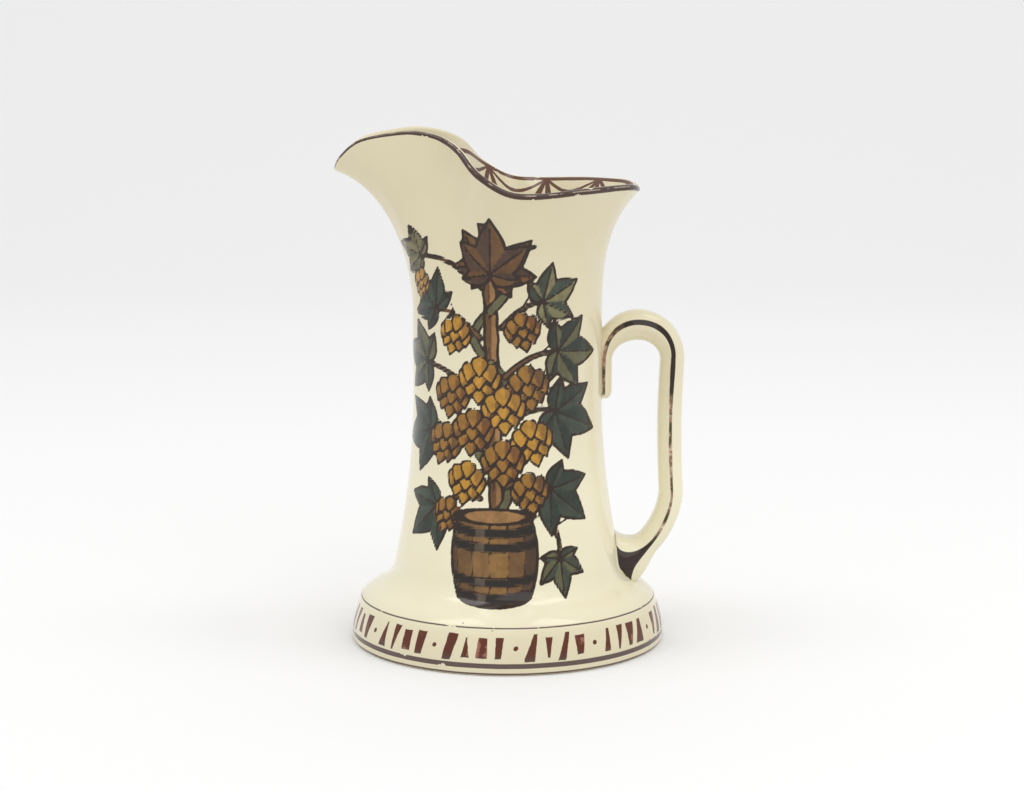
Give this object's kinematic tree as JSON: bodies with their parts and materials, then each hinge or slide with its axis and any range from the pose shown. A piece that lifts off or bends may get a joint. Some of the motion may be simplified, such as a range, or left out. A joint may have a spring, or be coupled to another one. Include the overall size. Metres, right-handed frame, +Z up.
{
  "type": "pitcher jug",
  "caption": "Glazed earthenware pitcher with a spreading foot, straight body, high curled spout, wavy rim and ridged strap handle; holds and pours a drink.",
  "frame": {"origin": "centre of the round foot on the surface that the jug stands on, which is the body's axis", "axes": "+Z up along the body's axis, +X towards the handle, -X towards the spout"},
  "size_m": [0.1295, 0.117, 0.191],
  "materials": {
    "cream_glaze": "gloss"
  },
  "bodies": {
    "root": {"jug": "cream_glaze"}
  },
  "joints": []
}
